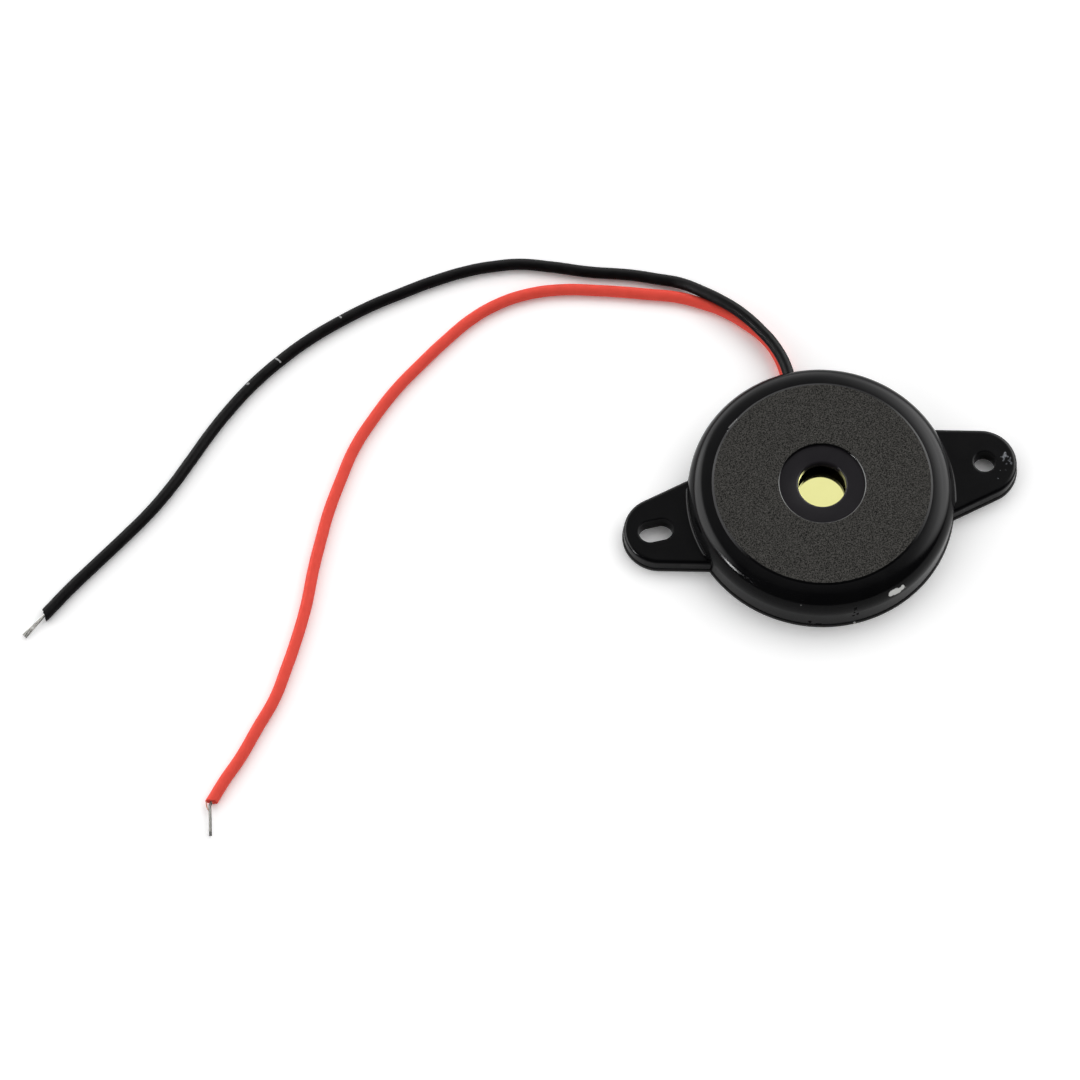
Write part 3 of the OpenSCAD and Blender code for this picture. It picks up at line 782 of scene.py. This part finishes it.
class BUZZER_OT_housing(bpy.types.Operator):
    """Build the moulded housing."""

    bl_idname = "buzzer.build_housing"
    bl_label = "Build Housing"

    def execute(self, context):
        s = context.scene.buzzer.housing
        bm = cut_away(body_mesh(s), lead_slot_mesh(s))
        foot, crease = 0.000005, 24.0
        slot_half = s.slot_length / 2 - s.slot_radius
        for turn, radius, half in ((0.0, s.screw_radius, 0.0), (math.pi, s.slot_radius, slot_half)):
            join_mesh(bm, ear_mesh(s, radius, half, foot), turn)
            join_mesh(bm, root_mesh(s), turn)
        material = housing_material(s, context.scene.buzzer.finish)
        shell = add_object("housing_shell", bm, [material], crease)
        weighted = shell.modifiers.new("Weighted Normals", "WEIGHTED_NORMAL")
        weighted.keep_sharp = True
        dress(shell, "black_plastic", "housing")
        paint_node("back_cover", material)
        return {"FINISHED"}


class BUZZER_OT_disc(bpy.types.Operator):
    """Dress the sounding disc and the joints inside the housing."""

    bl_idname = "buzzer.dress_disc"
    bl_label = "Dress Sounding Disc"

    def execute(self, context):
        finish = context.scene.buzzer.finish
        paint_node("brass_disc", metal_material("bright_brass", finish, "brass", 700.0, 0.06))
        paint_node("ceramic_disc", metal_material("silver_coat", finish, "silver", 900.0, 0.5))
        solder = metal_material("dull_solder", finish, "solder", 1500.0, 0.35)
        paint_node("adhesive_ring", metal_material("cured_glue", finish, "glue", 800.0, 0.4, 0.0))
        for node in ("red_solder", "black_solder", "red_bare_tail", "black_bare_tail"):
            paint_node(node, solder)
        return {"FINISHED"}


class BUZZER_OT_leads(bpy.types.Operator):
    """Build the two leads with their bare ends."""

    bl_idname = "buzzer.build_leads"
    bl_label = "Build Leads"

    def execute(self, context):
        s = context.scene.buzzer.leads
        finish = context.scene.buzzer.finish
        red = insulation_material("red_pvc", finish, "red", 1.15)
        black = insulation_material("black_pvc", finish, "black", 1.12, BLACK_TICKS)
        tinned = metal_material("tinned_strand", finish, "tinned", 2600.0, 0.35)
        dull = metal_material("dull_strand", finish, "dull", 2600.0, 0.4)
        copper = metal_material("copper_strand", finish, "copper", 2600.0, 0.6, 0.0)
        tight, even = (0.00011, 0.00011), (0.00012, 0.00012)
        neck, fan = (0.00006, 0.00006), (0.00028, 0.0001)
        for colour, route, tip, spread, turns, trim, slant, material, metal in (
                ("red", RED_ROUTE, RED_TIP, (tight, even), 1.5, 0.0004, 0.00025, red, dull),
                ("black", BLACK_ROUTE, BLACK_TIP, (neck, fan), 0.4, 0.0006, -0.0004, black, tinned)):
            tube = lead_curve(colour + "_insulation", route, s.diameter / 2, trim, material)
            dress(tube, colour + "_insulation", colour + "_lead")
            end = cut_end(colour + "_cut_end", route, s.diameter / 2, trim, slant, material)
            dress(end, colour + "_insulation")
            strands = strand_curve(colour + "_strands", tip, s.strand, s.strands, spread, turns, metal)
            dress(strands, "tinned_wire", colour + "_bare_tip")
            if colour == "red":
                single = ((0.0, 0.0), (0.0, 0.0))
                stray = strand_curve("red_stray_strand", COPPER_STRAND, s.strand * 1.1, 1, single, 0.0, copper)
                dress(stray, "tinned_wire")
            legs = zip(route, route[1:])
            length = sum((Vector(b) - Vector(a)).length for a, b in legs)
        return {"FINISHED"}


# Soft reflectors round the stage: azimuth from behind, elevation, inner and outer half angle, strength
REFLECTORS = [
    (-64.0, 28.0, 20.0, 35.0, 10.5),
    (66.0, 32.0, 20.0, 38.5, 13.0),
    (50.0, 50.0, 4.0, 12.0, 3.0),
    (8.0, 25.0, 14.0, 27.0, 3.5),
    (-27.0, 13.0, 10.0, 24.0, 5.0),
    (-103.5, 21.0, 3.0, 6.2, 150.0),
]


def add_floor():
    """Wide pale floor that takes the shadow and shows as white paper."""
    material, graph, shader, coordinates = new_material("pale_floor")
    tint = graph.noise(coordinates, 3.0, 1.0)
    pale = graph.mix(tint, (0.9, 0.9, 0.9, 1.0), (0.92, 0.92, 0.92, 1.0))
    white = graph.mix(tint, (1.14, 1.14, 1.14, 1.0), (1.166, 1.166, 1.166, 1.0))
    path = graph.node("ShaderNodeLightPath").outputs
    seen = graph.calc("MAXIMUM", path["Is Glossy Ray"], path["Is Transmission Ray"])
    seen = graph.calc("MAXIMUM", path["Is Camera Ray"], seen)
    graph.feed(shader.inputs["Base Color"], graph.mix(seen, pale, white))
    graph.feed(shader.inputs["Roughness"], 0.9)
    graph.feed(shader.inputs["Specular IOR Level"], 0.0)
    bm = bmesh.new()
    bmesh.ops.create_grid(bm, x_segments=1, y_segments=1, size=3.0)
    floor = add_object("floor", bm, [material])


def add_light(scene, s):
    """White surround: soft light on the floor and the part, and bright panels in the reflections."""
    world = bpy.data.worlds.new("white_studio")
    scene.world = world
    world.use_nodes = True
    sky = Graph(world.node_tree)
    background = world.node_tree.nodes["Background"]
    direction = sky.node("ShaderNodeTexCoord").outputs["Generated"]
    x, y, z = sky.node("ShaderNodeSeparateXYZ", {0: direction}).outputs

    def lit_side(value):
        return sky.calc("MAXIMUM", value, 0.0)

    behind = lit_side(y)
    high = sky.calc("MULTIPLY", sky.calc("POWER", lit_side(z), 3.0), s.behind)
    from_right = sky.calc("MULTIPLY", lit_side(sky.calc("MULTIPLY", x, s.right)), z)
    from_left = sky.calc("MULTIPLY", lit_side(sky.calc("MULTIPLY", x, -s.left)), sky.calc("SUBTRACT", 1.0, z))
    from_corner = sky.calc("MULTIPLY", lit_side(sky.calc("ADD", x, y)), s.corner)
    sides = sky.calc("ADD", sky.calc("ADD", from_right, from_left), from_corner)
    soft = sky.calc("ADD", sky.calc("MULTIPLY", behind, high), sides)
    mirrored = sky.calc("MULTIPLY", behind, s.backdrop)
    for azimuth, elevation, inner, outer, strength in REFLECTORS:
        a, e = math.radians(azimuth), math.radians(elevation)
        towards = (math.sin(a) * math.cos(e), math.cos(a) * math.cos(e), math.sin(e))
        facing = sky.node("ShaderNodeVectorMath", {0: direction, 1: towards}, operation="DOT_PRODUCT").outputs["Value"]
        shine = sky.ramp(facing, math.cos(math.radians(outer)), math.cos(math.radians(inner)), 0.0, strength)
        mirrored = sky.calc("ADD", mirrored, shine)
    path = sky.node("ShaderNodeLightPath").outputs
    level = sky.blend(path["Is Glossy Ray"], soft, mirrored)
    level = sky.blend(sky.calc("MAXIMUM", path["Is Camera Ray"], path["Is Transmission Ray"]), level, 1.0)
    sky.feed(background.inputs["Color"], (1.0, 1.0, 1.0, 1.0))
    sky.feed(background.inputs["Strength"], level)


def add_camera(scene, s):
    """Long lens that looks down on the part from the front left."""
    a, e = s.azimuth, s.elevation
    side = Vector((math.cos(a), math.sin(a), 0.0))
    back = Vector((math.sin(a) * math.cos(e), -math.cos(a) * math.cos(e), math.sin(e)))
    turn = Matrix((side, back.cross(side), back)).transposed().to_4x4()
    data = bpy.data.cameras.new("camera")
    data.lens = s.lens
    data.sensor_width = 36.0
    data.clip_start = 0.01
    camera = bpy.data.objects.new("camera", data)
    camera.matrix_world = Matrix.Translation(s.place) @ turn
    scene.collection.objects.link(camera)
    scene.camera = camera


class BUZZER_OT_stage(bpy.types.Operator):
    """Set up the floor, the light and the camera."""

    bl_idname = "buzzer.set_stage"
    bl_label = "Set Stage"

    def execute(self, context):
        s = context.scene.buzzer.stage
        add_floor()
        add_light(context.scene, s)
        add_camera(context.scene, s)
        context.scene.view_settings.view_transform = "Standard"
        return {"FINISHED"}


class BUZZER_PT_main(bpy.types.Panel):
    """Panel with the build steps of the buzzer."""

    bl_idname = "BUZZER_PT_main"
    bl_label = "Piezo Buzzer"
    bl_space_type = "VIEW_3D"
    bl_region_type = "UI"
    bl_category = "Buzzer"

    def draw(self, context):
        for operator in OPERATORS:
            self.layout.operator(operator.bl_idname)


OPERATORS = (BUZZER_OT_housing, BUZZER_OT_disc, BUZZER_OT_leads, BUZZER_OT_stage)
SETTINGS = (HousingSettings, LeadSettings, FinishSettings, StageSettings, BuzzerSettings)
CLASSES = SETTINGS + OPERATORS + (BUZZER_PT_main,)


def register():
    """Registers the classes and the scene's settings."""
    for cls in CLASSES:
        bpy.utils.register_class(cls)
    bpy.types.Scene.buzzer = PointerProperty(type=BuzzerSettings)


def unregister():
    """Removes the settings and the classes."""
    del bpy.types.Scene.buzzer
    for cls in reversed(CLASSES):
        bpy.utils.unregister_class(cls)


def main():
    """Builds the whole scene."""
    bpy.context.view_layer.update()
    register()
    bpy.ops.buzzer.build_housing()
    bpy.ops.buzzer.dress_disc()
    bpy.ops.buzzer.build_leads()
    bpy.ops.buzzer.set_stage()


if __name__ == "__main__":
    main()
